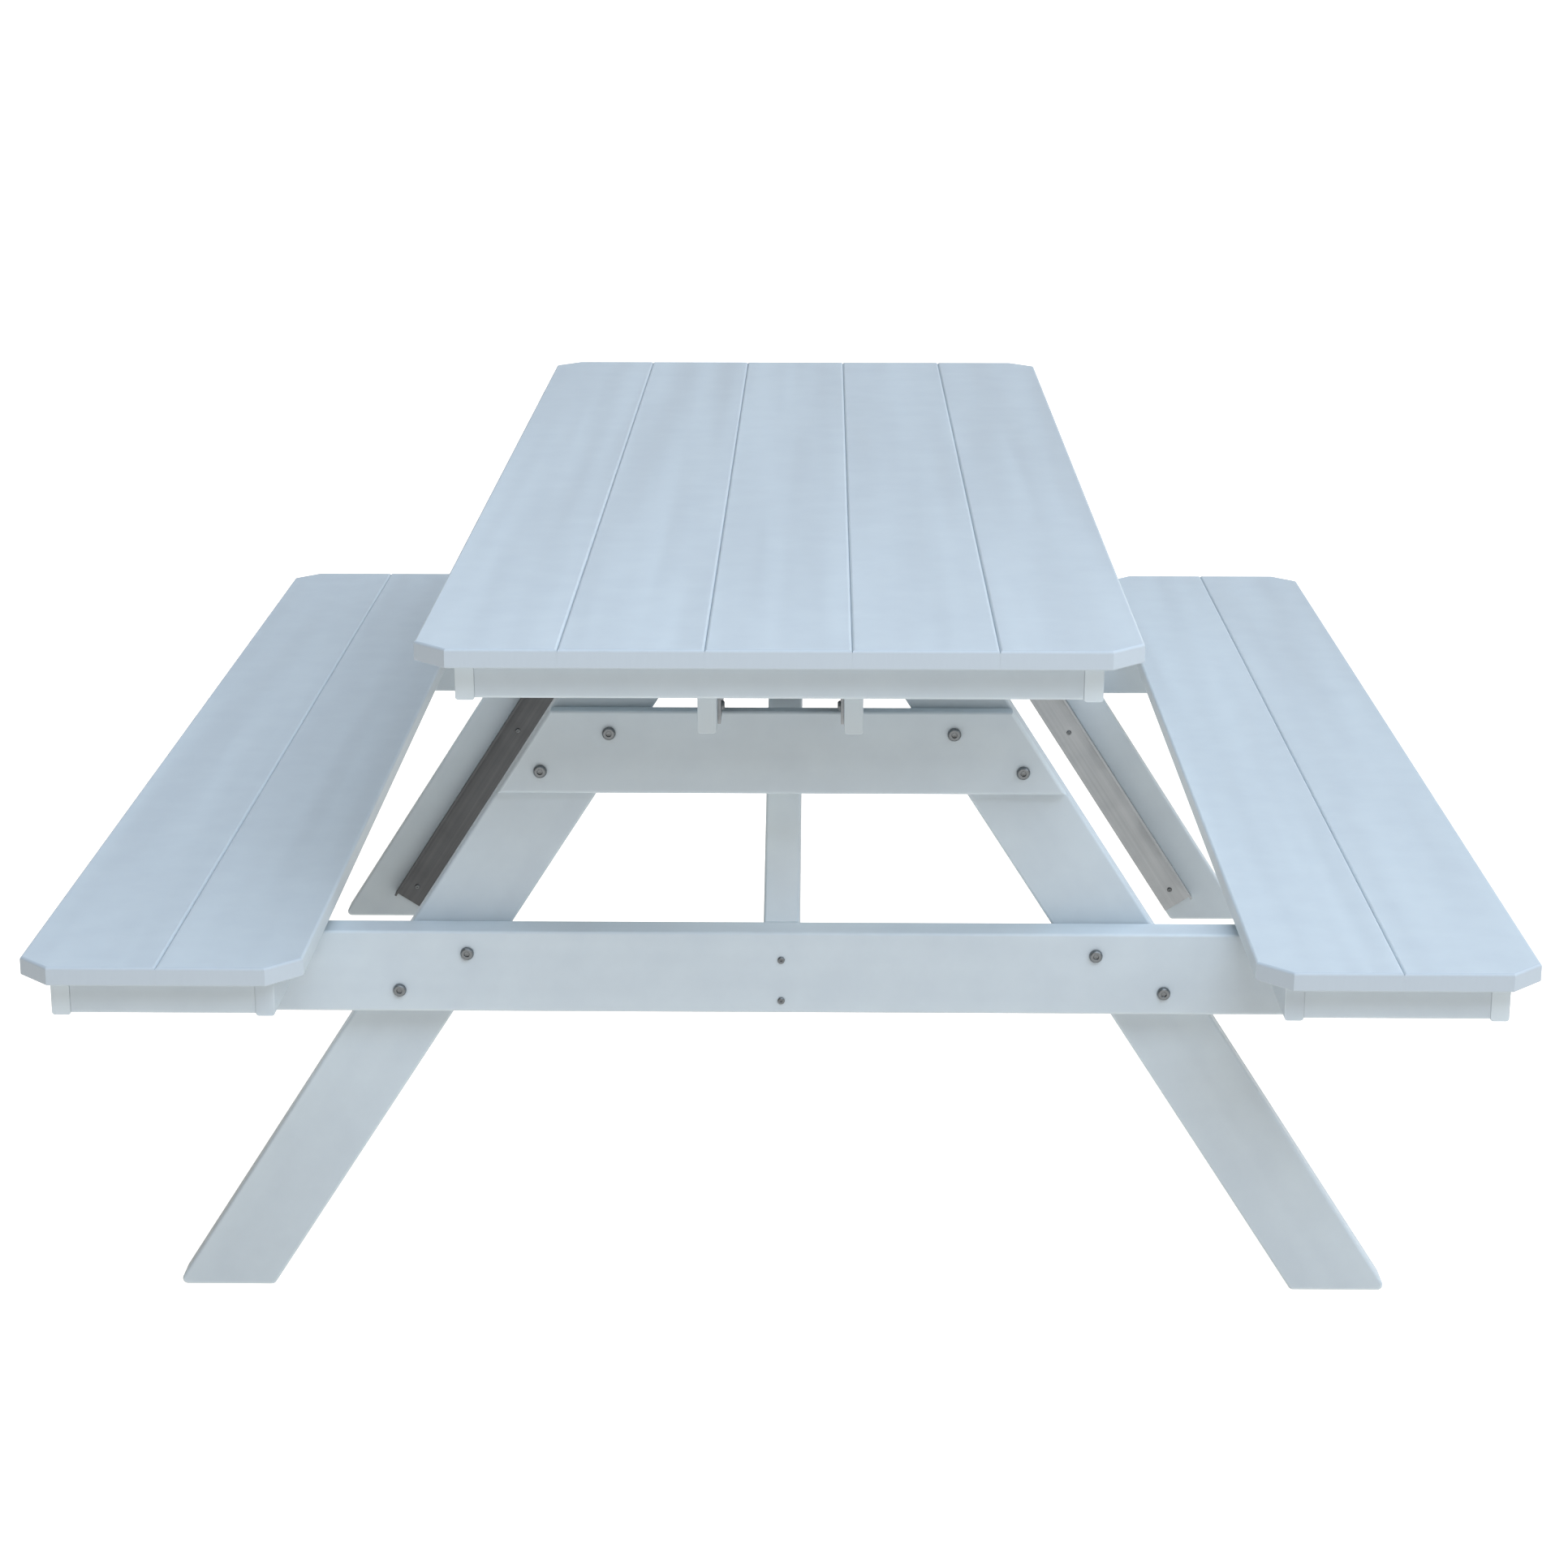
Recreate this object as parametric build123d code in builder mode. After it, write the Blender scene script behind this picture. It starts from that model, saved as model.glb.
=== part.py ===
"""Poly-lumber picnic table with two attached benches, built from separate boards.

Millimetres. X runs across the table, Y along it, Z up. The origin is on the ground
under the middle of the table. "Front" is the -Y end and "left" is the -X side.
"""

import os
from math import atan2, cos, sin, sqrt

from build123d import *

# ---- Driving sizes -------------------------------------------------------------
table_length = 1828.8
table_height = 775.0
bench_length = 1828.8
bench_height = 452.0
bench_inner_x = 472.0

slat_width = 140.65
slat_thickness = 19.05
slat_gap = 0.4
table_slat_count = 5
bench_slat_count = 2
corner_clip = 33.0

rail_thickness = 19.05
rail_height = 41.0
end_rail_step = 2.0
table_overhang = 38.1
bench_overhang = 29.5

cleat_width = 88.9
cleat_thickness = 12.7
cleat_end_gap = 1.0

beam_height = 88.9
lower_beam_thickness = 38.1
upper_beam_thickness = 19.05
frame_outer_y = 663.9
leg_width = 88.9
leg_thickness = 38.1
foot_middle_x = 611.8
leg_top_step = 43.6

stringer_middle_x = 73.7
stringer_height = 88.9
stringer_thickness = 19.05
stringer_half_length = 773.0

brace_width = 38.1
brace_depth = 88.9
brace_top_start_y = 60.0
brace_meeting_gap = 1.5

angle_flange = 44.5
angle_lip = 19.0
angle_thickness = 3.2
leg_angle_foot_gap = 16.5
leg_angle_top_gap = 62.0
stringer_angle_setback = 39.0

# Edge roundings.
slat_top_round = 3.0
slat_under_round = 1.5
board_round = 3.2
foot_round = 6.0
angle_round = 1.0

# Fits.
hole_clearance = 0.3
thread_clearance = 0.05
notch_clearance = 0.5
trim_clearance = 0.5

# Fasteners: shank radius, head radius, head height.
beam_bolt = (4.0, 7.0, 4.4)
stringer_screw = (2.6, 5.25, 3.3)
screw = (2.4, 4.5, 2.6)
brace_screw = (2.4, 3.8, 2.2)
angle_screw = (2.1, 3.5, 2.0)
countersunk_screw = (2.4, 4.6, 2.2)
socket_share = 0.36
washer_radius = 8.5
washer_thickness = 1.6
nut_flats = 13.0
nut_height = 8.0
thread_past_nut = 2.0

bolt_spread_x = 36.0
bolt_spread_z = 20.5
brace_screw_spread = 45.0
slat_screw_margin = 20.0
slat_screw_row = 32.0
slat_screw_bite = 12.5
cleat_end_margin = 13.0
cleat_screw_bite = 32.0
brace_screw_bite = 45.0
angle_screw_bite = 25.0
stringer_screw_bite = 15.0
pilot_spare = 1.0
brace_screw_drop = 8.0
angle_screw_start = 41.0
angle_screw_pitch = 282.0
angle_screw_count = 3
stringer_screw_inset = 61.0
stringer_screw_height = 14.0
stringer_screw_count = 5

# ---- Sizes worked out from the driving ones ------------------------------------
table_underside = table_height - slat_thickness
bench_underside = bench_height - slat_thickness
cleat_underside = table_underside - cleat_thickness
lower_beam_top = bench_underside - cleat_thickness
lower_beam_middle = lower_beam_top - beam_height / 2
stringer_bottom = cleat_underside - stringer_height
upper_beam_top = stringer_bottom
upper_beam_middle = upper_beam_top - beam_height / 2

leg_middle_y = frame_outer_y - leg_thickness / 2
leg_inner_y = frame_outer_y - leg_thickness
lower_beam_middle_y = frame_outer_y + lower_beam_thickness / 2
upper_beam_middle_y = frame_outer_y + upper_beam_thickness / 2

table_width = table_slat_count * slat_width + (table_slat_count - 1) * slat_gap
bench_width = bench_slat_count * slat_width + (bench_slat_count - 1) * slat_gap
bench_outer_x = bench_inner_x + bench_width
bench_middle_x = bench_inner_x + bench_width / 2
table_rail_inner_x = table_width / 2 - table_overhang - rail_thickness
bench_rail_inner_x = bench_inner_x + bench_overhang + rail_thickness
bench_rail_outer_x = bench_outer_x - bench_overhang - rail_thickness
bench_clear_width = bench_rail_outer_x - bench_rail_inner_x
lower_beam_half_length = bench_rail_outer_x - cleat_end_gap

stringer_outer_x = stringer_middle_x + stringer_thickness / 2
stringer_inner_x = stringer_middle_x - stringer_thickness / 2
leg_top_middle_x = stringer_outer_x + leg_top_step
leg_slope = (foot_middle_x - leg_top_middle_x) / cleat_underside
leg_lean = atan2(leg_slope, 1.0)
leg_half_across = leg_width / cos(leg_lean) / 2

brace_slope = (cleat_underside - lower_beam_top) / (frame_outer_y - brace_top_start_y)
brace_end_height = brace_depth * sqrt(1 + brace_slope**2)

pilot_depth = cleat_screw_bite - cleat_thickness + pilot_spare
end_cleat_y = leg_middle_y
bench_cleat_y = lower_beam_middle_y

sides = {"left": -1, "right": 1}
ends = {"front": -1, "rear": 1}


def save(builder, name):
    """Label a finished piece and write it as its own STEP file."""
    builder.part.label = name
    export_step(builder.part, f"parts/{name}.step")


def leg_x(height, across=0.0):
    """X of the leg's centre line at a height, or of a line beside it in the leg's face."""
    return foot_middle_x - leg_slope * height + across * leg_half_across


# ---- Fasteners as single pieces, head up, bearing face at Z = 0 -----------------
def button_bolt(sizes, length):
    """Domed button head with a hexagon socket on a plain shank."""
    radius, head_radius, head_height = sizes
    rim = head_height * 0.22
    crown = head_radius * 0.5
    with BuildPart() as bolt:
        with BuildSketch(Plane.XZ):
            with BuildLine():
                Polyline((0, head_height), (0, -length), (radius, -length), (radius, 0),
                         (head_radius, 0), (head_radius, rim))
                ThreePointArc((head_radius, rim), (head_radius * 0.83, head_height * 0.72),
                              (crown, head_height))
                Line((crown, head_height), (0, head_height))
            make_face()
        revolve(axis=Axis.Z)
        with BuildSketch(Plane.XY.offset(head_height)):
            RegularPolygon(head_radius * socket_share, 6, major_radius=False)
        extrude(amount=-head_height * 0.6, mode=Mode.SUBTRACT)
    return bolt.part


def countersunk(sizes, length):
    """Flat head screw whose cone sinks into the face, with a pointed end."""
    radius, head_radius, head_height = sizes
    with BuildPart() as flat:
        with BuildSketch(Plane.XZ):
            with BuildLine():
                Polyline((0, 0), (head_radius, 0), (radius, -head_height),
                         (radius, -length + 2 * radius), (0, -length), close=True)
            make_face()
        revolve(axis=Axis.Z)
    return flat.part


def pan_screw(sizes, length):
    """Pan head wood screw with a domed head, a square socket and a pointed end."""
    radius, head_radius, head_height = sizes
    rim = head_height * 0.35
    crown = head_radius * 0.55
    with BuildPart() as pan:
        with BuildSketch(Plane.XZ):
            with BuildLine():
                Polyline((0, head_height), (0, -length), (radius, -length + 2 * radius),
                         (radius, 0), (head_radius, 0), (head_radius, rim))
                ThreePointArc((head_radius, rim), (head_radius * 0.86, head_height * 0.78),
                              (crown, head_height))
                Line((crown, head_height), (0, head_height))
            make_face()
        revolve(axis=Axis.Z)
        with BuildSketch(Plane.XY.offset(head_height)):
            Rectangle(head_radius * 0.55, head_radius * 0.55)
        extrude(amount=-head_height * 0.6, mode=Mode.SUBTRACT)
    return pan.part


def lock_nut(radius, flats, height):
    """Hexagon lock nut: the hexagon, then a round collar on top."""
    hexagon_height = height * 0.75
    with BuildPart() as nut:
        with BuildSketch():
            RegularPolygon(flats / 2, 6, major_radius=False)
        extrude(amount=hexagon_height)
        with BuildSketch(Plane.XY.offset(hexagon_height)):
            Circle(flats * 0.46)
        extrude(amount=height - hexagon_height)
        with BuildSketch():
            Circle(radius + thread_clearance)
        extrude(amount=height, mode=Mode.SUBTRACT)
    return nut.part


def flat_washer(radius):
    """Plain round washer."""
    with BuildPart() as washer:
        with BuildSketch():
            Circle(washer_radius)
            Circle(radius + hole_clearance, mode=Mode.SUBTRACT)
        extrude(amount=washer_thickness)
    return washer.part


def save_group(name, piece, places):
    """Copies of one fastener at several places, as separate solids in one node."""
    with BuildPart() as group:
        with Locations(*places):
            add(piece)
    save(group, name)


def facing(point, direction):
    """Place whose local +Z, the way a head faces, points along a direction."""
    side = (0, 1, 0) if direction[0] else (1, 0, 0)
    return Plane(origin=point, x_dir=side, z_dir=direction).location


# ---- Where the fasteners go ----------------------------------------------------
def joint_spots(beam_middle):
    """X and Z of the two bolts at a leg and beam joint: inner upper, outer lower."""
    middle = leg_x(beam_middle)
    return [
        (middle - bolt_spread_x, beam_middle + bolt_spread_z),
        (middle + bolt_spread_x, beam_middle - bolt_spread_z),
    ]


def slat_screw_spans(first_edge, count, cleat_start, cleat_stop):
    """X of the two screws in each slat, kept on the slat and on the cleat under it."""
    spots = []
    for index in range(count):
        low = first_edge + index * (slat_width + slat_gap)
        spots.append(max(low + slat_screw_margin, cleat_start + cleat_end_margin))
        spots.append(min(low + slat_width - slat_screw_margin, cleat_stop - cleat_end_margin))
    return spots


def angle_screw_spots():
    """X and Z of the screws down the middle of the flange on the right-hand leg."""
    spots = []
    for index in range(angle_screw_count):
        along = angle_screw_start + index * angle_screw_pitch
        x = leg_x(0, -1) - along * sin(leg_lean) + angle_flange / 2 * cos(leg_lean)
        z = along * cos(leg_lean) + angle_flange / 2 * sin(leg_lean)
        spots.append((x, z))
    return spots


def stringer_screw_ys():
    """Y of the screws along a stringer, evenly spaced between the two end ones."""
    reach = stringer_half_length - stringer_screw_inset
    step = 2 * reach / (stringer_screw_count - 1)
    return [-reach + index * step for index in range(stringer_screw_count)]


table_cleat_half = table_rail_inner_x - cleat_end_gap
table_screw_xs = slat_screw_spans(-table_width / 2, table_slat_count,
                                  -table_cleat_half, table_cleat_half)
bench_screw_xs = slat_screw_spans(bench_inner_x, bench_slat_count,
                                  bench_rail_inner_x + cleat_end_gap,
                                  bench_rail_outer_x - cleat_end_gap)
table_cleat_ys = {"front": -end_cleat_y, "middle": 0.0, "rear": end_cleat_y}
bench_cleat_ys = {"front": -bench_cleat_y, "middle": 0.0, "rear": bench_cleat_y}
beam_cleat_xs = [bench_middle_x - bench_clear_width / 4, bench_middle_x + bench_clear_width / 4]
leg_cleat_x = (stringer_outer_x + leg_x(cleat_underside, 1)) / 2
brace_cleat_y = (brace_top_start_y + brace_meeting_gap) / 2


# ---- Boards --------------------------------------------------------------------
def slat(name, x_low, top, length, clipped, screw_xs, screw_ys):
    """Top or seat board. clipped holds -1 or 1 for each long side with cut corners."""
    x_high = x_low + slat_width
    half = length / 2
    low_clip = corner_clip if -1 in clipped else 0.0
    high_clip = corner_clip if 1 in clipped else 0.0
    corners = [(x_low + low_clip, -half), (x_high - high_clip, -half)]
    if high_clip:
        corners += [(x_high, -half + high_clip), (x_high, half - high_clip)]
    corners += [(x_high - high_clip, half), (x_low + low_clip, half)]
    if low_clip:
        corners += [(x_low, half - low_clip), (x_low, -half + low_clip)]
    with BuildPart() as board:
        with BuildSketch(Plane.XY.offset(top - slat_thickness)):
            with BuildLine():
                Polyline(*corners, close=True)
            make_face()
        extrude(amount=slat_thickness)
        fillet(board.faces().sort_by(Axis.Z)[-1].edges(), slat_top_round)
        fillet(board.faces().sort_by(Axis.Z)[0].edges(), slat_under_round)
        with BuildSketch(Plane.XY.offset(top - slat_thickness)):
            with Locations(*[(x, y) for x in screw_xs for y in screw_ys]):
                Circle(screw[0] + thread_clearance)
        extrude(amount=slat_screw_bite + thread_clearance, mode=Mode.SUBTRACT)
    save(board, name)


def side_rail(name, x_middle, top, half_length, notch_ys=()):
    """Lengthwise rail under a top or seat, cut away where a lower beam passes through."""
    notch_top = lower_beam_top + notch_clearance
    notch_height = notch_top - (top - rail_height) + board_round
    with BuildPart() as rail:
        with BuildSketch(Plane.XZ):
            with Locations((x_middle, top - rail_height / 2)):
                RectangleRounded(rail_thickness, rail_height, board_round)
        extrude(amount=half_length, both=True)
        if notch_ys:
            with BuildSketch(Plane.YZ.offset(x_middle)):
                with Locations(*[(y, notch_top - notch_height / 2) for y in notch_ys]):
                    Rectangle(lower_beam_thickness + 2 * notch_clearance, notch_height)
            extrude(amount=rail_thickness, both=True, mode=Mode.SUBTRACT)
    save(rail, name)


def end_rail(name, x_middle, half_length, top, y_middle):
    """Crosswise rail between two side rails, a little shallower than they are."""
    height = rail_height - end_rail_step
    with BuildPart() as rail:
        with BuildSketch(Plane.YZ.offset(x_middle)):
            with Locations((y_middle, top - height / 2)):
                RectangleRounded(rail_thickness, height, board_round)
        extrude(amount=half_length, both=True)
    save(rail, name)


def cleat(name, x_middle, half_length, top, y_middle, slat_xs, sunk):
    """Flat strip screwed up into the slats, with sunk screws down into the frame."""
    radius, head_radius, _ = countersunk_screw
    hole = radius + hole_clearance
    with BuildPart() as strip:
        with BuildSketch(Plane.YZ.offset(x_middle)):
            with Locations((y_middle, top - cleat_thickness / 2)):
                RectangleRounded(cleat_width, cleat_thickness, board_round)
        extrude(amount=half_length, both=True)
        with BuildSketch(Plane.XY.offset(top - cleat_thickness)):
            rows = (y_middle - slat_screw_row, y_middle + slat_screw_row)
            with Locations(*[(x, y) for x in slat_xs for y in rows]):
                Circle(screw[0] + hole_clearance)
        extrude(amount=cleat_thickness, mode=Mode.SUBTRACT)
        if sunk:
            with Locations(*[(x, y, top) for x, y in sunk]):
                CounterSinkHole(hole, head_radius + hole_clearance)
    save(strip, name)


# ---- Table top -----------------------------------------------------------------
def table_top():
    """Five slats, the rail frame under them and three cross cleats."""
    rows = [y + shift for y in table_cleat_ys.values()
            for shift in (-slat_screw_row, slat_screw_row)]
    for index in range(table_slat_count):
        clipped = ([-1] if index == 0 else []) + ([1] if index == table_slat_count - 1 else [])
        x_low = -table_width / 2 + index * (slat_width + slat_gap)
        slat(f"table_slat_{index + 1}", x_low, table_height, table_length, clipped,
             table_screw_xs[2 * index:2 * index + 2], rows)
    rail_half = table_length / 2 - table_overhang
    for side, way in sides.items():
        side_rail(f"table_side_rail_{side}", way * (table_rail_inner_x + rail_thickness / 2),
                  table_underside, rail_half)
    for end, way in ends.items():
        end_rail(f"table_end_rail_{end}", 0.0, table_rail_inner_x, table_underside,
                 way * (rail_half - rail_thickness / 2))
    for place, y in table_cleat_ys.items():
        cleat(f"table_cleat_{place}", 0.0, table_cleat_half, table_underside, y,
              table_screw_xs, table_sunk_spots(place, y))


def table_sunk_spots(place, y):
    """Sunk screws of a table cleat: into the stringers and into the legs or braces."""
    spots = [(way * stringer_middle_x, y) for way in sides.values()]
    if place == "middle":
        return spots + [(0.0, way * brace_cleat_y) for way in ends.values()]
    return spots + [(way * leg_cleat_x, y) for way in sides.values()]


# ---- Benches -------------------------------------------------------------------
def bench(side, way):
    """Two slats, the rail frame under them and three cross cleats."""
    rows = [y + shift for y in bench_cleat_ys.values()
            for shift in (-slat_screw_row, slat_screw_row)]
    for index, place in enumerate(("inner", "outer")):
        low = bench_inner_x + index * (slat_width + slat_gap)
        x_low = low if way > 0 else -low - slat_width
        clipped = [-way if place == "inner" else way]
        xs = [way * x for x in bench_screw_xs[2 * index:2 * index + 2]]
        slat(f"{side}_bench_slat_{place}", x_low, bench_height, bench_length, clipped, xs, rows)
    rail_half = bench_length / 2 - bench_overhang
    beam_ys = [-lower_beam_middle_y, lower_beam_middle_y]
    side_rail(f"{side}_bench_rail_inner", way * (bench_rail_inner_x - rail_thickness / 2),
              bench_underside, rail_half, beam_ys)
    side_rail(f"{side}_bench_rail_outer", way * (bench_rail_outer_x + rail_thickness / 2),
              bench_underside, rail_half)
    for end, end_way in ends.items():
        end_rail(f"{side}_bench_end_rail_{end}", way * bench_middle_x, bench_clear_width / 2,
                 bench_underside, end_way * (rail_half - rail_thickness / 2))
    for place, y in bench_cleat_ys.items():
        sunk = [] if place == "middle" else [(way * x, y) for x in beam_cleat_xs]
        cleat(f"{side}_bench_cleat_{place}", way * bench_middle_x,
              bench_clear_width / 2 - cleat_end_gap, bench_underside, y,
              [way * x for x in bench_screw_xs], sunk)


# ---- End frames ----------------------------------------------------------------
def circles(plane, spots, radius):
    """Sketch of equal circles on a plane, to cut holes with."""
    with BuildSketch(plane) as rounds:
        with Locations(*spots):
            Circle(radius)
    return rounds.sketch


def bolt_circles(y_middle, spots):
    """Circles for the beam bolts, on both sides of the table."""
    both_sides = [(way * x, z) for x, z in spots for way in sides.values()]
    return circles(Plane.XZ.offset(-y_middle), both_sides, beam_bolt[0] + hole_clearance)


def pilot_circles(top, spots):
    """Circles for the sunk screws' pilot holes, on a top face."""
    return circles(Plane.XY.offset(top), spots, countersunk_screw[0] + thread_clearance)


def brace_screw_zs():
    """Heights of the two screws from the lower beam into the brace."""
    return (lower_beam_middle - brace_screw_spread / 2 - brace_screw_drop,
            lower_beam_middle + brace_screw_spread / 2 - brace_screw_drop)


def lower_beam(end, way):
    """Full-width beam outside the legs that carries both benches."""
    y_middle = way * lower_beam_middle_y
    with BuildPart() as beam:
        with BuildSketch(Plane.YZ):
            with Locations((y_middle, lower_beam_middle)):
                RectangleRounded(lower_beam_thickness, beam_height, board_round)
        extrude(amount=lower_beam_half_length, both=True)
        extrude(bolt_circles(y_middle, joint_spots(lower_beam_middle)),
                amount=lower_beam_thickness, both=True, mode=Mode.SUBTRACT)
        extrude(circles(Plane.XZ.offset(-y_middle), [(0, z) for z in brace_screw_zs()],
                        brace_screw[0] + hole_clearance),
                amount=lower_beam_thickness, both=True, mode=Mode.SUBTRACT)
        seats = [(side * x, y_middle) for x in beam_cleat_xs for side in sides.values()]
        extrude(pilot_circles(lower_beam_top, seats), amount=-pilot_depth, mode=Mode.SUBTRACT)
    save(beam, f"lower_beam_{end}")


def upper_beam(end, way):
    """Short beam outside the legs, its ends cut along the legs' outer edges."""
    y_middle = way * upper_beam_middle_y
    low, high = upper_beam_top - beam_height, upper_beam_top
    outline = [(leg_x(low, 1), low), (leg_x(high, 1), high),
               (-leg_x(high, 1), high), (-leg_x(low, 1), low)]
    with BuildPart() as beam:
        with BuildSketch(Plane.XZ.offset(-y_middle)):
            with BuildLine():
                Polyline(*outline, close=True)
            make_face()
        extrude(amount=upper_beam_thickness / 2, both=True)
        fillet(beam.edges().filter_by(Axis.X), board_round)
        extrude(bolt_circles(y_middle, joint_spots(upper_beam_middle)),
                amount=upper_beam_thickness, both=True, mode=Mode.SUBTRACT)
    save(beam, f"upper_beam_{end}")


def leg(end, end_way, side, way):
    """Sloping leg: level foot, level top trimmed beside the stringer."""
    trim_x = stringer_outer_x + trim_clearance
    trim_z = (foot_middle_x - leg_half_across - trim_x) / leg_slope
    outline = [(leg_x(0, -1), 0), (leg_x(0, 1), 0), (leg_x(cleat_underside, 1), cleat_underside),
               (trim_x, cleat_underside), (trim_x, trim_z)]
    y_middle = end_way * leg_middle_y
    lean = Vector(way * -leg_slope, 0, 1).normalized()
    with BuildPart() as post:
        with BuildSketch(Plane.XZ.offset(-y_middle)):
            with BuildLine():
                Polyline(*[(way * x, z) for x, z in outline], close=True)
            make_face()
        extrude(amount=leg_thickness / 2, both=True)
        fillet(post.edges().filter_by(Axis.Y).group_by(Axis.Z)[0], foot_round)
        fillet(post.edges().filter_by(lambda edge: abs((edge % 0.5).dot(lean)) > 0.9999),
               board_round)
        bolts = joint_spots(lower_beam_middle) + joint_spots(upper_beam_middle)
        extrude(bolt_circles(y_middle, bolts), amount=leg_thickness, both=True,
                mode=Mode.SUBTRACT)
        extrude(circles(Plane.XZ.offset(-end_way * leg_inner_y),
                        [(way * x, z) for x, z in angle_screw_spots()],
                        angle_screw[0] + thread_clearance),
                amount=-end_way * (angle_screw_bite - angle_thickness + pilot_spare),
                mode=Mode.SUBTRACT)
        extrude(pilot_circles(cleat_underside, [(way * leg_cleat_x, y_middle)]),
                amount=-pilot_depth, mode=Mode.SUBTRACT)
    save(post, f"leg_{end}_{side}")


def brace(end, way):
    """Diagonal board from the lower beam up to the middle of the table top."""
    start = frame_outer_y
    base_z = lower_beam_top
    under_z = base_z - brace_end_height
    beam_low = lower_beam_top - beam_height
    stop = brace_meeting_gap
    outline = [
        (start, base_z), (start, beam_low),
        (start - (beam_low - under_z) / brace_slope, beam_low),
        (stop, under_z + brace_slope * (start - stop)),
        (stop, cleat_underside), (brace_top_start_y, cleat_underside),
    ]
    slope = Vector(0, -way, brace_slope).normalized()
    with BuildPart() as bar:
        with BuildSketch(Plane.YZ):
            with BuildLine():
                Polyline(*[(way * y, z) for y, z in outline], close=True)
            make_face()
        extrude(amount=brace_width / 2, both=True)
        fillet(bar.edges().filter_by(lambda edge: abs((edge % 0.5).dot(slope)) > 0.9999),
               board_round)
        extrude(circles(Plane.XZ.offset(-way * start), [(0, z) for z in brace_screw_zs()],
                        brace_screw[0] + thread_clearance),
                amount=way * (brace_screw_bite + pilot_spare), mode=Mode.SUBTRACT)
        extrude(pilot_circles(cleat_underside, [(0, way * brace_cleat_y)]),
                amount=-pilot_depth, mode=Mode.SUBTRACT)
    save(bar, f"brace_{end}")


# ---- Stringers and metal angles -------------------------------------------------
def stringer(side, way):
    """Lengthwise board on edge between the cleats and the upper beams."""
    screw_z = stringer_bottom + stringer_screw_height
    with BuildPart() as board:
        with BuildSketch(Plane.XZ):
            with Locations((way * stringer_middle_x, cleat_underside - stringer_height / 2)):
                RectangleRounded(stringer_thickness, stringer_height, board_round)
        extrude(amount=stringer_half_length, both=True)
        extrude(circles(Plane.YZ.offset(way * stringer_inner_x),
                        [(y, screw_z) for y in stringer_screw_ys()],
                        stringer_screw[0] + thread_clearance),
                amount=way * (stringer_screw_bite + pilot_spare), mode=Mode.SUBTRACT)
        spots = [(way * stringer_middle_x, y) for y in table_cleat_ys.values()]
        extrude(pilot_circles(cleat_underside, spots), amount=-pilot_depth, mode=Mode.SUBTRACT)
    save(board, f"stringer_{side}")


def stringer_angle(side, way):
    """Aluminium angle: flange on the stringer's inner face, lip pointing inwards."""
    face = stringer_inner_x
    low, high = stringer_bottom, stringer_bottom + angle_flange
    outline = [(face, low), (face, high), (face - angle_lip, high),
               (face - angle_lip, high - angle_thickness),
               (face - angle_thickness, high - angle_thickness), (face - angle_thickness, low)]
    screw_z = stringer_bottom + stringer_screw_height
    with BuildPart() as angle:
        with BuildSketch(Plane.XZ):
            with BuildLine():
                Polyline(*[(way * x, z) for x, z in outline], close=True)
            make_face()
        extrude(amount=stringer_half_length - stringer_angle_setback, both=True)
        with BuildSketch(Plane.YZ.offset(way * face)):
            with Locations(*[(y, screw_z) for y in stringer_screw_ys()]):
                Circle(stringer_screw[0] + hole_clearance)
        extrude(amount=angle_thickness * 2, both=True, mode=Mode.SUBTRACT)
    save(angle, f"stringer_angle_{side}")


def leg_angle(end, end_way, side, way):
    """Aluminium angle screwed up the inner face of a leg, lip standing off the leg."""
    corner = Vector(way * leg_x(0, -1), end_way * leg_inner_y, 0)
    along = Vector(-way * sin(leg_lean), 0, cos(leg_lean))
    across = Vector(way * cos(leg_lean), 0, sin(leg_lean))
    profile = Plane(origin=corner + along * leg_angle_foot_gap, x_dir=across, z_dir=along)
    off = 1 if profile.y_dir.Y * end_way < 0 else -1
    length = cleat_underside / cos(leg_lean) - leg_angle_foot_gap - leg_angle_top_gap
    outline = [(0, 0), (angle_flange, 0), (angle_flange, angle_lip),
               (angle_flange - angle_thickness, angle_lip),
               (angle_flange - angle_thickness, angle_thickness), (0, angle_thickness)]
    lower, upper = joint_spots(lower_beam_middle)[0], joint_spots(upper_beam_middle)[0]
    with BuildPart() as angle:
        with BuildSketch(profile):
            with BuildLine():
                Polyline(*[(x, off * y) for x, y in outline], close=True)
            make_face()
        extrude(amount=length)
        extrude(bolt_circles(end_way * leg_inner_y, [lower, upper]),
                amount=angle_thickness, both=True, mode=Mode.SUBTRACT)
        extrude(circles(Plane.XZ.offset(-end_way * leg_inner_y),
                        [(way * x, z) for x, z in angle_screw_spots()],
                        angle_screw[0] + hole_clearance),
                amount=angle_thickness, both=True, mode=Mode.SUBTRACT)
    save(angle, f"leg_angle_{end}_{side}")


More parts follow.
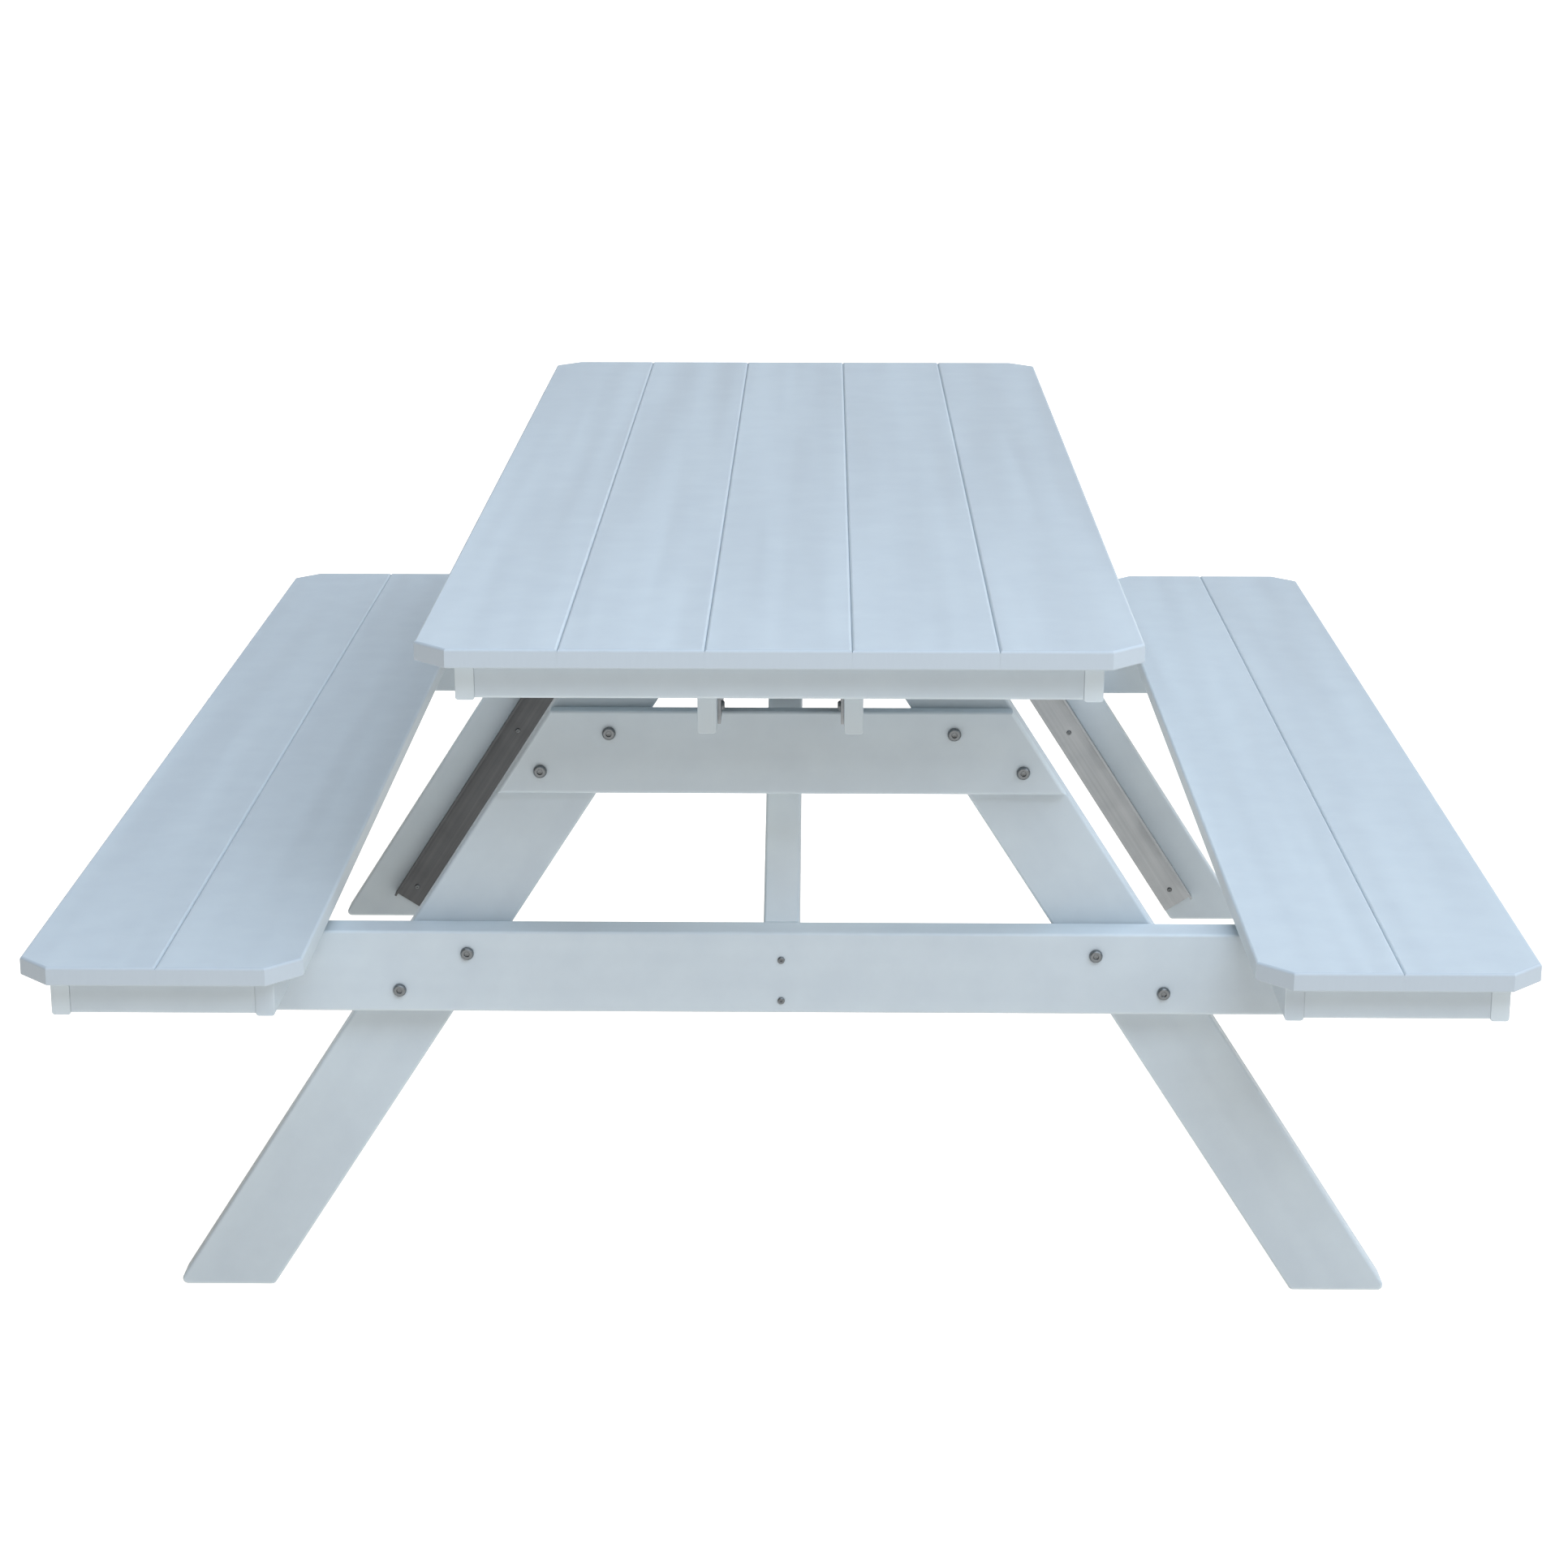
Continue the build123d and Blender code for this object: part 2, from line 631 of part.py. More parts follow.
# ---- Fastener nodes -------------------------------------------------------------
def beam_fasteners():
    """Bolts, washers and lock nuts that hold the four legs to the four beams."""
    washers, nuts = [], []
    for level, middle, thickness in (("lower", lower_beam_middle, lower_beam_thickness),
                                     ("upper", upper_beam_middle, upper_beam_thickness)):
        grip = thickness + leg_thickness + angle_thickness + washer_thickness + nut_height
        heads = []
        for way in ends.values():
            for side in sides.values():
                for index, (x, z) in enumerate(joint_spots(middle)):
                    metal = angle_thickness if index == 0 else 0.0
                    heads.append(facing((side * x, way * (frame_outer_y + thickness), z),
                                        (0, way, 0)))
                    seat = leg_inner_y - metal
                    washers.append(facing((side * x, way * seat, z), (0, -way, 0)))
                    nuts.append(facing((side * x, way * (seat - washer_thickness), z),
                                       (0, -way, 0)))
        save_group(f"{level}_beam_bolts", button_bolt(beam_bolt, grip + thread_past_nut), heads)
    save_group("beam_bolt_washers", flat_washer(beam_bolt[0]), washers)
    save_group("beam_bolt_nuts", lock_nut(beam_bolt[0], nut_flats, nut_height), nuts)


def wood_screws():
    """Screws into the stringers and braces, through the leg angles and up into the slats."""
    screw_z = stringer_bottom + stringer_screw_height
    places = [facing((way * (stringer_inner_x - angle_thickness), y, screw_z), (-way, 0, 0))
              for way in sides.values() for y in stringer_screw_ys()]
    save_group("stringer_screws", pan_screw(stringer_screw, angle_thickness + stringer_screw_bite),
               places)

    beam_face = frame_outer_y + lower_beam_thickness
    places = [facing((0, way * beam_face, z), (0, way, 0))
              for way in ends.values() for z in brace_screw_zs()]
    length = lower_beam_thickness + brace_screw_bite
    save_group("brace_screws", pan_screw(brace_screw, length), places)

    seat = leg_inner_y - angle_thickness
    places = [facing((side * x, way * seat, z), (0, -way, 0))
              for way in ends.values() for side in sides.values() for x, z in angle_screw_spots()]
    save_group("leg_angle_screws", pan_screw(angle_screw, angle_screw_bite), places)

    rows = (-slat_screw_row, slat_screw_row)
    low = table_underside - cleat_thickness
    places = [facing((x, y + row, low), (0, 0, -1))
              for x in table_screw_xs for y in table_cleat_ys.values() for row in rows]
    low = bench_underside - cleat_thickness
    places += [facing((side * x, y + row, low), (0, 0, -1)) for side in sides.values()
               for x in bench_screw_xs for y in bench_cleat_ys.values() for row in rows]
    save_group("slat_screws", pan_screw(screw, cleat_thickness + slat_screw_bite), places)


def sunk_screws():
    """Flat head screws from the cleats down into stringers, legs, braces and beams."""
    places = [facing((x, y, table_underside), (0, 0, 1))
              for place, row in table_cleat_ys.items() for x, y in table_sunk_spots(place, row)]
    places += [facing((side * x, way * lower_beam_middle_y, bench_underside), (0, 0, 1))
               for side in sides.values() for way in ends.values() for x in beam_cleat_xs]
    save_group("cleat_screws", countersunk(countersunk_screw, cleat_screw_bite), places)


# ---- The whole table -------------------------------------------------------------
os.makedirs("parts", exist_ok=True)
table_top()
for side_name, side_way in sides.items():
    bench(side_name, side_way)
    stringer(side_name, side_way)
    stringer_angle(side_name, side_way)
for end_name, way_along in ends.items():
    lower_beam(end_name, way_along)
    upper_beam(end_name, way_along)
    brace(end_name, way_along)
    for side_name, side_way in sides.items():
        leg(end_name, way_along, side_name, side_way)
        leg_angle(end_name, way_along, side_name, side_way)
beam_fasteners()
wood_screws()
sunk_screws()
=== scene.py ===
"""Poly-lumber picnic table with two attached benches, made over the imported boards.

Metres. X runs across the table, Y along it and Z up, with the origin on the ground
under the middle of the top. "Front" is the -Y end and "left" is the -X side.
"""

import math

import bpy
import numpy as np
from mathutils import Matrix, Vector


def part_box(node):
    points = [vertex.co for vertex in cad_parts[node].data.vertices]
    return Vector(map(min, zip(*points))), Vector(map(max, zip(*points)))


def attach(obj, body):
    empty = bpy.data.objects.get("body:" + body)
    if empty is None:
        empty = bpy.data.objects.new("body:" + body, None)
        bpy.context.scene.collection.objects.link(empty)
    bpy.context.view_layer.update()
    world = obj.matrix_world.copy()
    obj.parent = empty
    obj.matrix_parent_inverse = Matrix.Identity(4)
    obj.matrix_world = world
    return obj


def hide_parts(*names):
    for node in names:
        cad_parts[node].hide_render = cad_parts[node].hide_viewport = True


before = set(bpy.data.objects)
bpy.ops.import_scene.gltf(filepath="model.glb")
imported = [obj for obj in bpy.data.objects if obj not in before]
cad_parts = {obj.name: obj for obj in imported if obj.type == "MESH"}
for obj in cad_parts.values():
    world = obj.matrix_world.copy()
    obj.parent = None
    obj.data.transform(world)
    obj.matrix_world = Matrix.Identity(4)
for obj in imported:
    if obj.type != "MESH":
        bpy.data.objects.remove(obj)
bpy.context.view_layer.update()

# ---- Table slats -----------------------------------------------------------------
# Five boards of white HDPE poly lumber, extruded with rounded long edges and sawn to
# length. The two outer ones have their corners cut off at 45 degrees. Each is held
# from below by screws through the cleats, so nothing shows on top.
X, Y, Z = np.eye(3)
slat_top_round = 0.003
slat_under_round = 0.0015
corner_cut = 0.033
slat_swell = 0.00017
arc_rows = 6
pattern_step = 1.7


def linear(hex_colour):
    """Linear colour of an sRGB hex value: each channel's gamma curve is undone."""
    srgb = np.array([int(hex_colour[i:i + 2], 16) for i in (1, 3, 5)]) / 255
    value = np.where(srgb <= 0.04045, srgb / 12.92, ((srgb + 0.055) / 1.055) ** 2.4)
    return (*value, 1.0)


def add_node(material, kind, inputs, **settings):
    """Adds a shader node, sets its settings, and fills its inputs with values or links."""
    node = material.node_tree.nodes.new(kind)
    for name, value in settings.items():
        setattr(node, name, value)
    for name, value in inputs.items():
        if isinstance(value, bpy.types.NodeSocket):
            material.node_tree.links.new(value, node.inputs[name])
        else:
            node.inputs[name].default_value = value
    return node


def poly_lumber(name, turn):
    """White HDPE poly lumber. turn is the rotation that takes Z to the board's length.

    Moulded colour right through, so there is no grain: only cloudy mottling about 45 mm
    across, long faint flow lines from the extruder's die, and a satin skin.
    """
    made = bpy.data.materials.new(name)
    made.use_nodes = True
    shader = made.node_tree.nodes["Principled BSDF"]
    place = add_node(made, "ShaderNodeTexCoord", {})
    shift = add_node(made, "ShaderNodeAttribute", {}, attribute_name="board_shift")
    # In the board's own frame, with its length drawn in to a thirtieth.
    flow = add_node(made, "ShaderNodeMapping", {
        "Vector": place.outputs["Object"], "Rotation": turn, "Scale": (1, 1, 30),
    }, vector_type="TEXTURE")
    # Flow lines 30 mm apart.
    lines = add_node(made, "ShaderNodeTexNoise", {
        "Vector": flow.outputs["Vector"], "W": shift.outputs["Fac"],
        "Scale": 1 / 0.030, "Detail": 2, "Roughness": 0.4,
    }, noise_dimensions="4D")
    # Clouds 45 mm across.
    clouds = add_node(made, "ShaderNodeTexNoise", {
        "Vector": place.outputs["Object"], "W": shift.outputs["Fac"],
        "Scale": 1 / 0.045, "Detail": 3, "Roughness": 0.6,
    }, noise_dimensions="4D")
    # The skin's fine grain is about 0.3 mm; it is drawn 2 mm wide so that it shows.
    grain = add_node(made, "ShaderNodeTexNoise", {
        "Vector": place.outputs["Object"], "Scale": 1 / 0.002, "Detail": 2,
    })
    both = add_node(made, "ShaderNodeMath", {
        0: lines.outputs["Fac"], 1: clouds.outputs["Fac"],
    }, operation="ADD")
    spread = add_node(made, "ShaderNodeMapRange", {
        "Value": both.outputs["Value"], "From Min": 0.75, "From Max": 1.25,
    })
    tint = add_node(made, "ShaderNodeMix", {
        "Factor": spread.outputs["Result"], 6: linear("#BDC8CF"), 7: linear("#C3CED4"),
    }, data_type="RGBA")
    gloss = add_node(made, "ShaderNodeMapRange", {
        "Value": lines.outputs["Fac"], "From Min": 0.3, "From Max": 0.7,
        "To Min": 0.40, "To Max": 0.52,
    })
    ripple = add_node(made, "ShaderNodeBump", {
        "Height": lines.outputs["Fac"], "Strength": 0.2, "Distance": 0.0006,
    })
    skin = add_node(made, "ShaderNodeBump", {
        "Height": grain.outputs["Fac"], "Strength": 0.12, "Distance": 0.0003,
        "Normal": ripple.outputs["Normal"],
    })
    link = made.node_tree.links.new
    link(tint.outputs[2], shader.inputs["Base Color"])
    link(gloss.outputs["Result"], shader.inputs["Roughness"])
    link(skin.outputs["Normal"], shader.inputs["Normal"])
    shader.inputs["IOR"].default_value = 1.54
    # Light goes a few millimetres into the plastic, which softens its edges and seams.
    shader.inputs["Subsurface Weight"].default_value = 0.4
    shader.inputs["Subsurface Radius"].default_value = (1.0, 0.95, 0.9)
    shader.inputs["Subsurface Scale"].default_value = 0.006
    return made


def sawn_lumber(name, turn, dark="#C9D4DA", light="#CCD7DC"):
    """HDPE where a saw cut it: less shiny, with faint straight marks 3 mm apart.

    Real saw marks are under 1 mm apart; they are drawn coarser so that they show.
    """
    made = bpy.data.materials.new(name)
    made.use_nodes = True
    shader = made.node_tree.nodes["Principled BSDF"]
    place = add_node(made, "ShaderNodeTexCoord", {})
    across = add_node(made, "ShaderNodeMapping", {
        "Vector": place.outputs["Object"], "Rotation": turn, "Scale": (1, 6, 6),
    }, vector_type="TEXTURE")
    marks = add_node(made, "ShaderNodeTexNoise", {
        "Vector": across.outputs["Vector"], "Scale": 1 / 0.003, "Detail": 2,
    })
    tint = add_node(made, "ShaderNodeMix", {
        "Factor": marks.outputs["Fac"], 6: linear(dark), 7: linear(light),
    }, data_type="RGBA")
    cut = add_node(made, "ShaderNodeBump", {
        "Height": marks.outputs["Fac"], "Strength": 0.05, "Distance": 0.0003,
    })
    link = made.node_tree.links.new
    link(tint.outputs[2], shader.inputs["Base Color"])
    link(cut.outputs["Normal"], shader.inputs["Normal"])
    shader.inputs["Roughness"].default_value = 0.58
    shader.inputs["IOR"].default_value = 1.54
    return made


def outline(corners, rounding, steps=6):
    """Closed outline through corners, each turned into an arc tangent to its two edges.

    An arc's points stand the rounding away from its centre, along facings that turn
    evenly from one edge's normal to the next edge's. A corner with no rounding stays
    one point with two facings. Gives the points and each one's facing before and after.
    """
    corner = np.array(corners, float)
    ahead = np.roll(corner, -1, 0) - corner
    if np.sum(corner[:, 0] * np.roll(corner, -1, 0)[:, 1]
              - corner[:, 1] * np.roll(corner, -1, 0)[:, 0]) < 0:
        return outline(corner[::-1], np.broadcast_to(rounding, len(corner))[::-1], steps)
    radius = np.broadcast_to(np.asarray(rounding, float), len(corner))[:, None]
    ahead /= np.linalg.norm(ahead, axis=1, keepdims=True)
    behind = np.roll(ahead, 1, 0)
    turn = np.arctan2(behind[:, 0] * ahead[:, 1] - behind[:, 1] * ahead[:, 0],
                      np.sum(behind * ahead, axis=1))[:, None]
    facing = behind[:, ::-1] * (1, -1)
    arm = radius * np.sign(turn)
    centre = corner - behind * radius * np.tan(abs(turn) / 2) - facing * arm
    part = np.linspace(0, 1, steps + 1)
    angle = np.arctan2(facing[:, 1:], facing[:, :1]) + turn * part
    way = np.stack([np.cos(angle), np.sin(angle)], axis=-1)
    points = centre[:, None] + way * arm[:, :, None]
    after = np.where(radius[:, :, None] > 0, way, (ahead[:, ::-1] * (1, -1))[:, None])
    kept = (radius > 0) | (part == 0)
    return points[kept], way[kept], after[kept]


def board(node, shape, axes, span, rounds, materials, length, mount=(0, 0, 0)):
    """Outline carried straight from one end of span to the other, both ends rounded.

    Row by row, the outline moves in along the bisectors of its facings by the rounding
    times one minus the cosine of the tilt, while it rises by the rounding times the
    sine. axes are the outline's two directions; it travels along their cross product.
    Faces that look along the board's length are sawn, and take the second material.
    """
    points, before, after = shape
    across, up = (np.asarray(axis, float) for axis in axes)
    along = np.cross(across, up)
    tilt = np.radians(np.concatenate([np.linspace(-90, 0, arc_rows), np.linspace(0, 90, arc_rows)]))
    radius = np.repeat(rounds, arc_rows)
    height = np.repeat(span, arc_rows) + radius * (np.sin(tilt) + np.repeat([1, -1], arc_rows))
    inset = radius * (1 - np.cos(tilt))
    bisector = (before + after) / (1 + np.sum(before * after, axis=1, keepdims=True))
    flat = points - inset[:, None, None] * bisector
    place = (np.asarray(mount, float) + flat[..., :1] * across + flat[..., 1:] * up
             + height[:, None, None] * along)
    rows, count = place.shape[:2]

    spot = np.arange(rows * count).reshape(rows, count)
    ahead = np.roll(spot, -1, axis=1)
    walls = np.stack([spot[:-1], ahead[:-1], ahead[1:], spot[1:]], axis=-1).reshape(-1, 4)
    corner_rows = np.arange(rows - 1)[:, None] + [0, 0, 1, 1]
    leaving = after[:, 0, None] * across + after[:, 1, None] * up
    arriving = np.roll(before[:, 0, None] * across + before[:, 1, None] * up, -1, axis=0)
    side = np.stack([leaving, arriving, arriving, leaving], axis=1)
    lift = tilt[corner_rows][:, None, :, None]
    normals = (np.cos(lift) * side + np.sin(lift) * along).reshape(-1, 3)
    facing = (leaving + arriving) @ np.asarray(length) / 2

    mesh = bpy.data.meshes.new(node + "_board")
    mesh.from_pydata(place.reshape(-1, 3).tolist(), [],
                     walls.tolist() + [spot[0, ::-1].tolist(), spot[-1].tolist()])
    mesh.polygons.foreach_set("use_smooth", np.ones(len(walls) + 2, bool))
    mesh.normals_split_custom_set(np.concatenate([
        normals, np.tile(-along, (count, 1)), np.tile(along, (count, 1)),
    ]).tolist())
    sawn = np.concatenate([np.tile(abs(facing) > 0.5, rows - 1),
                           np.repeat(abs(along @ np.asarray(length)) > 0.5, 2)])
    mesh.polygons.foreach_set("material_index", sawn.astype(np.int32))
    # Each board's pattern starts further on, so that no two boards look alike.
    start = pattern_step * len(bpy.data.meshes)
    shift = mesh.attributes.new("board_shift", "FLOAT", "POINT")
    shift.data.foreach_set("value", np.full(rows * count, start, np.float32))
    for material in materials:
        mesh.materials.append(material)
    piece = bpy.data.objects.new(node + "_board", mesh)
    bpy.context.collection.objects.link(piece)
    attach(piece, "root")
    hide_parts(node)


def slat(node, cut_sides):
    """Board lying flat: its plan, with corners cut off on the cut_sides, carried upward."""
    low, high = np.array(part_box(node))
    left = corner_cut if -1 in cut_sides else 0
    right = corner_cut if 1 in cut_sides else 0
    # Beside a neighbour it swells a hair, so that the two close up.
    low[0] -= 0 if left else slat_swell
    high[0] += 0 if right else slat_swell
    corners = [(low[0] + left, low[1]), (high[0] - right, low[1]),
               (high[0], low[1] + right), (high[0], high[1] - right),
               (high[0] - right, high[1]), (low[0] + left, high[1]),
               (low[0], high[1] - left), (low[0], low[1] + left)]
    corners = [c for i, c in enumerate(corners) if c != corners[i - 1]]
    board(node, outline(corners, 0), (X, Y), (low[2], high[2]),
          (slat_under_round, slat_top_round), slat_boards, Y)


lengthwise_turn = (math.radians(90), 0, 0)
lengthwise = (poly_lumber("white_hdpe_lengthwise", lengthwise_turn),
              sawn_lumber("sawn_hdpe_lengthwise", lengthwise_turn))
# The slats' sawn ends are painted a shade darker than the frame's: painted shade that holds down the
# strong front light falling on them.
slat_boards = (lengthwise[0], sawn_lumber("sawn_hdpe_slats_painted_shade", lengthwise_turn, "#B3BEC6", "#B6C1C9"))
for number, cut_sides in ((1, (-1,)), (2, ()), (3, ()), (4, ()), (5, (1,))):
    slat(f"table_slat_{number}", cut_sides)

# ---- Table rails ---------------------------------------------------------------
# A frame of narrow boards on edge under the top, stiffening its rim. The two side
# rails run past the end rails, whose sawn ends butt against them, and hang 2 mm lower.
long_edge_round = 0.0032
sawn_edge_round = 0.0007
crosswise_turn = (0, math.radians(90), 0)
crosswise = (poly_lumber("white_hdpe_crosswise", crosswise_turn),
             sawn_lumber("sawn_hdpe_crosswise", crosswise_turn))


def lengthwise_board(node):
    """Straight board along Y: its section, rounded at the long edges, carried along."""
    low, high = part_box(node)
    section = [(low[2], low[0]), (high[2], low[0]), (high[2], high[0]), (low[2], high[0])]
    board(node, outline(section, long_edge_round), (Z, X),
          (low[1], high[1]), (sawn_edge_round, sawn_edge_round), lengthwise, Y)


def crosswise_board(node):
    """Straight board along X, made the same way."""
    low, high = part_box(node)
    section = [(low[1], low[2]), (high[1], low[2]), (high[1], high[2]), (low[1], high[2])]
    board(node, outline(section, long_edge_round), (Y, Z),
          (low[0], high[0]), (sawn_edge_round, sawn_edge_round), crosswise, X)


for side in ("left", "right"):
    lengthwise_board(f"table_side_rail_{side}")
for end in ("front", "rear"):
    crosswise_board(f"table_end_rail_{end}")

# ---- Bench seats -----------------------------------------------------------------
# Each bench is two slats, clipped at their outer corners, over a rail frame like the
# table's. The inner rails are notched where the lower beams pass through them, and
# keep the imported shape.
for side in ("left", "right"):
    outward = -1 if side == "left" else 1
    slat(f"{side}_bench_slat_inner", (-outward,))
    slat(f"{side}_bench_slat_outer", (outward,))
    lengthwise_board(f"{side}_bench_rail_outer")
    for end in ("front", "rear"):
        crosswise_board(f"{side}_bench_end_rail_{end}")
    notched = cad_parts[f"{side}_bench_rail_inner"]
    notched.data.materials.clear()
    notched.data.materials.append(lengthwise[0])

# ---- Cleats ------------------------------------------------------------------------
# Flat strips across the underside of the top and seats, half an inch thick, screwed up
# into every slat and down into the stringers, beams, braces and legs.
for place in ("front", "middle", "rear"):
    crosswise_board(f"table_cleat_{place}")
    crosswise_board(f"left_bench_cleat_{place}")
    crosswise_board(f"right_bench_cleat_{place}")

# ---- Stringers and their metal angles ------------------------------------------------
# Two boards on edge run the table's length between the cleats and the upper beams.
# An extruded aluminium angle is bolted to each one's inner face, its lip turned inwards.
angle_flange = 0.0445
angle_lip = 0.019
angle_thickness = 0.0032
angle_edge_round = 0.0005
angle_end_round = 0.0003


def drawn_aluminium(name, turn, dark, light):
    """Mill-finish aluminium angle: grey, dull, with drawn lines along its length."""
    made = bpy.data.materials.new(name)
    made.use_nodes = True
    shader = made.node_tree.nodes["Principled BSDF"]
    place = add_node(made, "ShaderNodeTexCoord", {})
    flow = add_node(made, "ShaderNodeMapping", {
        "Vector": place.outputs["Object"], "Rotation": turn, "Scale": (1, 1, 90),
    }, vector_type="TEXTURE")
    # Die lines are finer than 1 mm; they are drawn 4 mm apart so that they show.
    lines = add_node(made, "ShaderNodeTexNoise", {
        "Vector": flow.outputs["Vector"], "Scale": 1 / 0.004, "Detail": 3,
    })
    # Patches of oxide and handling marks 30 mm across.
    patches = add_node(made, "ShaderNodeTexNoise", {
        "Vector": place.outputs["Object"], "Scale": 1 / 0.03, "Detail": 4,
    })
    tint = add_node(made, "ShaderNodeMix", {
        "Factor": lines.outputs["Fac"], 6: linear(dark), 7: linear(light),
    }, data_type="RGBA")
    gloss = add_node(made, "ShaderNodeMapRange", {
        "Value": patches.outputs["Fac"], "From Min": 0.3, "From Max": 0.7,
        "To Min": 0.34, "To Max": 0.5,
    })
    drawn = add_node(made, "ShaderNodeBump", {
        "Height": lines.outputs["Fac"], "Strength": 0.15, "Distance": 0.0004,
    })
    link = made.node_tree.links.new
    link(tint.outputs[2], shader.inputs["Base Color"])
    link(gloss.outputs["Result"], shader.inputs["Roughness"])
    link(drawn.outputs["Normal"], shader.inputs["Normal"])
    shader.inputs["Metallic"].default_value = 1
    return made


aluminium = drawn_aluminium("drawn_aluminium_lengthwise", lengthwise_turn, "#909396", "#A9ACAE")
for side in ("left", "right"):
    lengthwise_board(f"stringer_{side}")
    node = f"stringer_angle_{side}"
    low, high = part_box(node)
    face, edge = (high[0], low[0]) if side == "right" else (low[0], high[0])
    thick = math.copysign(angle_thickness, edge - face)
    section = [(low[2], face), (high[2], face), (high[2], edge),
               (high[2] - angle_thickness, edge), (high[2] - angle_thickness, face + thick),
               (low[2], face + thick)]
    board(node, outline(section, angle_edge_round), (Z, X),
          (low[1], high[1]), (angle_end_round, angle_end_round), (aluminium, aluminium), Y)

# ---- Legs ----------------------------------------------------------------------------
# Four boards an inch and a half thick lean in to the stringers, sawn level at the foot
# and at the top, with the top corner trimmed off beside the stringer.
leg_width = 0.0889
leg_thickness = 0.0381
foot_round = 0.006
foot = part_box("leg_front_right")[1]
upper_low, upper_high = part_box("upper_beam_front")
leg_slope = (foot[0] - upper_high[0]) / upper_low[2]
leg_lean = math.atan(leg_slope)
leg_across = leg_width / math.cos(leg_lean)


def leg_x(height, edge):
    """Distance out from the middle of a leg's outer edge (0), inner edge (1) or between."""
    return foot[0] - leg_slope * height - edge * leg_across


leaning = {}
for side, way in (("left", -1), ("right", 1)):
    lean_turn = (0, -way * leg_lean, 0)
    leaning[side] = (poly_lumber(f"white_hdpe_leg_{side}", lean_turn),
                     sawn_lumber(f"sawn_hdpe_leg_{side}", lean_turn))
    for end in ("front", "rear"):
        node = f"leg_{end}_{side}"
        low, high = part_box(node)
        trim = min(abs(low[0]), abs(high[0]))
        corners = [(leg_x(0, 1), 0), (leg_x(0, 0), 0), (leg_x(high[2], 0), high[2]),
                   (trim, high[2]), (trim, (leg_x(0, 1) - trim) / leg_slope)]
        shape = outline([(way * x, z) for x, z in corners], (foot_round, foot_round, 0, 0, 0))
        board(node, shape, (X, Z), (-high[1], -low[1]),
              (long_edge_round, long_edge_round), leaning[side],
              (-way * math.sin(leg_lean), 0, math.cos(leg_lean)))

# ---- Leg angles -----------------------------------------------------------------------
# Aluminium angles like the stringers', screwed flat up the inner face of each leg, with
# the lip standing off the leg along its outer side.
foot_gap = 0.0165
top_gap = 0.062
# Each side's angles get their own tint pair, the left ones far darker: painted shade, for the left
# side stands in more shade than the right.
left_painted_shade_tint, right_side_tint = ("#545658", "#67696B"), ("#989DA0", "#B4B8BB")
for side, way, side_shading_tint in (("left", -1, left_painted_shade_tint), ("right", 1, right_side_tint)):
    across = (way * math.cos(leg_lean), 0, math.sin(leg_lean))
    along = np.array((-way * math.sin(leg_lean), 0, math.cos(leg_lean)))
    metal = drawn_aluminium(f"drawn_aluminium_side_shaded_leg_{side}", (0, -way * leg_lean, 0), *side_shading_tint)
    for end, end_way in (("front", -1), ("rear", 1)):
        low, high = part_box(f"leg_{end}_{side}")
        inner_y = low[1] if end_way > 0 else high[1]
        stop = high[2] / math.cos(leg_lean) - top_gap
        span = (foot_gap, stop) if end_way * way < 0 else (-stop, -foot_gap)
        section = [(0, 0), (angle_flange, 0), (angle_flange, angle_lip),
                   (angle_flange - angle_thickness, angle_lip),
                   (angle_flange - angle_thickness, angle_thickness), (0, angle_thickness)]
        board(f"leg_angle_{end}_{side}", outline(section, angle_edge_round),
              (across, (0, -end_way, 0)), span, (angle_end_round, angle_end_round),
              (metal, metal), along, (way * leg_x(0, 1), inner_y, 0))

# ---- Beams ------------------------------------------------------------------------------
# Outside the legs at each end, a thick lower beam carries both benches, and a thin upper
# beam carries the stringers, its ends sawn along the legs' outer edges.
for end in ("front", "rear"):
    crosswise_board(f"lower_beam_{end}")
    node = f"upper_beam_{end}"
    low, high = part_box(node)
    half_low, half_high = leg_x(low[2], 0), leg_x(high[2], 0)
    corners = [(-half_low, low[2]), (half_low, low[2]), (half_high, high[2]),
               (-half_high, high[2])]
    board(node, outline(corners, 0), (X, Z), (-high[1], -low[1]),
          (long_edge_round, long_edge_round), crosswise, X)

# ---- Braces -------------------------------------------------------------------------------
# A thick board slopes up from each lower beam to the middle cleat of the top, sawn
# level under the cleat and upright behind the beam. The two all but meet in the middle.
brace_depth = 0.0889
brace_level_y = 0.060
beam_low, beam_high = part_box("lower_beam_front")
for end, way in (("front", -1), ("rear", 1)):
    node = f"brace_{end}"
    low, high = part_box(node)
    start, stop = max(abs(low[1]), abs(high[1])), min(abs(low[1]), abs(high[1]))
    slope = (high[2] - beam_high[2]) / (start - brace_level_y)
    under = beam_high[2] - brace_depth * math.hypot(1, slope)
    corners = [(start, beam_high[2]), (start, beam_low[2]),
               (start - (beam_low[2] - under) / slope, beam_low[2]),
               (stop, under + slope * (start - stop)), (stop, high[2]),
               (brace_level_y, high[2])]
    rise = math.atan(slope)
    brace_turn = (way * (math.radians(90) - rise), 0, 0)
    sloping = (poly_lumber(f"white_hdpe_brace_{end}", brace_turn),
               sawn_lumber(f"sawn_hdpe_brace_{end}", brace_turn))
    board(node, outline([(way * y, z) for y, z in corners], 0), (Y, Z),
          (low[0], high[0]), (long_edge_round, long_edge_round), sloping,
          (0, -way * math.cos(rise), math.sin(rise)))

# ---- Bolts through the legs and beams ------------------------------------------------------
# Stainless button-head bolts: a domed head with a hexagon socket, forged and tumbled,
# drawn up by a washer and a lock nut behind. Two hold each leg to each beam.
twist = np.random.default_rng(7)


